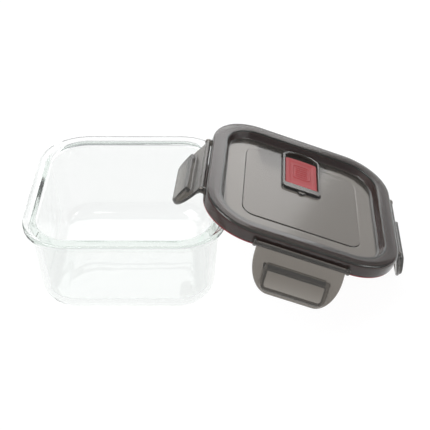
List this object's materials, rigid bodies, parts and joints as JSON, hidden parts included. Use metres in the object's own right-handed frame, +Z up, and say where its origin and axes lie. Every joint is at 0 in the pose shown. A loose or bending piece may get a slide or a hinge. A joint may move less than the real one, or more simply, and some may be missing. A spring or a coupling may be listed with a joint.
{
  "type": "lidded glass food box",
  "caption": "Square glass food box with a smoky lock-flap lid leaning on its rim; lid has a red seal, four hinged flaps and a red vent flap.",
  "frame": {"origin": "centre of the glass base, on the surface the box stands on", "axes": "+Z up out of the box, +X towards the leaning lid, -Y towards the front lock flap; the box's sides lie along X and Y"},
  "size_m": [0.2928, 0.1927, 0.0919],
  "materials": {
    "glass": "clear polished",
    "lid_plastic": "smoky translucent",
    "flap_plastic": "smoky translucent",
    "seal": "satin silicone",
    "vent_silicone": "satin silicone"
  },
  "bodies": {
    "box": {"glass_box": "glass"},
    "lid": {"lid_shell": "lid_plastic", "seal_ring": "seal"},
    "front_lock": {"lock_flap_front": "flap_plastic"},
    "back_lock": {"lock_flap_back": "flap_plastic"},
    "left_lock": {"lock_flap_left": "flap_plastic"},
    "right_lock": {"lock_flap_right": "flap_plastic"},
    "vent": {"vent_flap": "vent_silicone"}
  },
  "joints": [
    {"name": "lid_lift", "type": "slide", "parent": "box", "child": "lid", "axis": [0, 0, 1], "range_m": [0, 0.15]},
    {"name": "front_lock_hinge", "type": "hinge", "parent": "lid", "child": "front_lock", "pos_m": [0.12852, -0.07189, 0.0628], "axis": [-0.9436, 0.0759, 0.3223], "range_deg": [-41, 69]},
    {"name": "back_lock_hinge", "type": "hinge", "parent": "lid", "child": "back_lock", "pos_m": [0.13894, 0.08662, 0.05597], "axis": [0.9436, -0.0759, -0.3223], "range_deg": [-8, 102]},
    {"name": "left_lock_hinge", "type": "hinge", "parent": "lid", "child": "left_lock", "pos_m": [0.05871, 0.0134, 0.085], "axis": [0.0655, 0.9969, -0.0429], "range_deg": [-26, 84]},
    {"name": "right_lock_hinge", "type": "hinge", "parent": "lid", "child": "right_lock", "pos_m": [0.20874, 0.00133, 0.03376], "axis": [-0.0655, -0.9969, 0.0429], "range_deg": [-26, 84]},
    {"name": "vent_hinge", "type": "hinge", "parent": "lid", "child": "vent", "pos_m": [0.13484, 0.01895, 0.05992], "axis": [0.9436, -0.0759, -0.3223], "range_deg": [0, 80]}
  ]
}
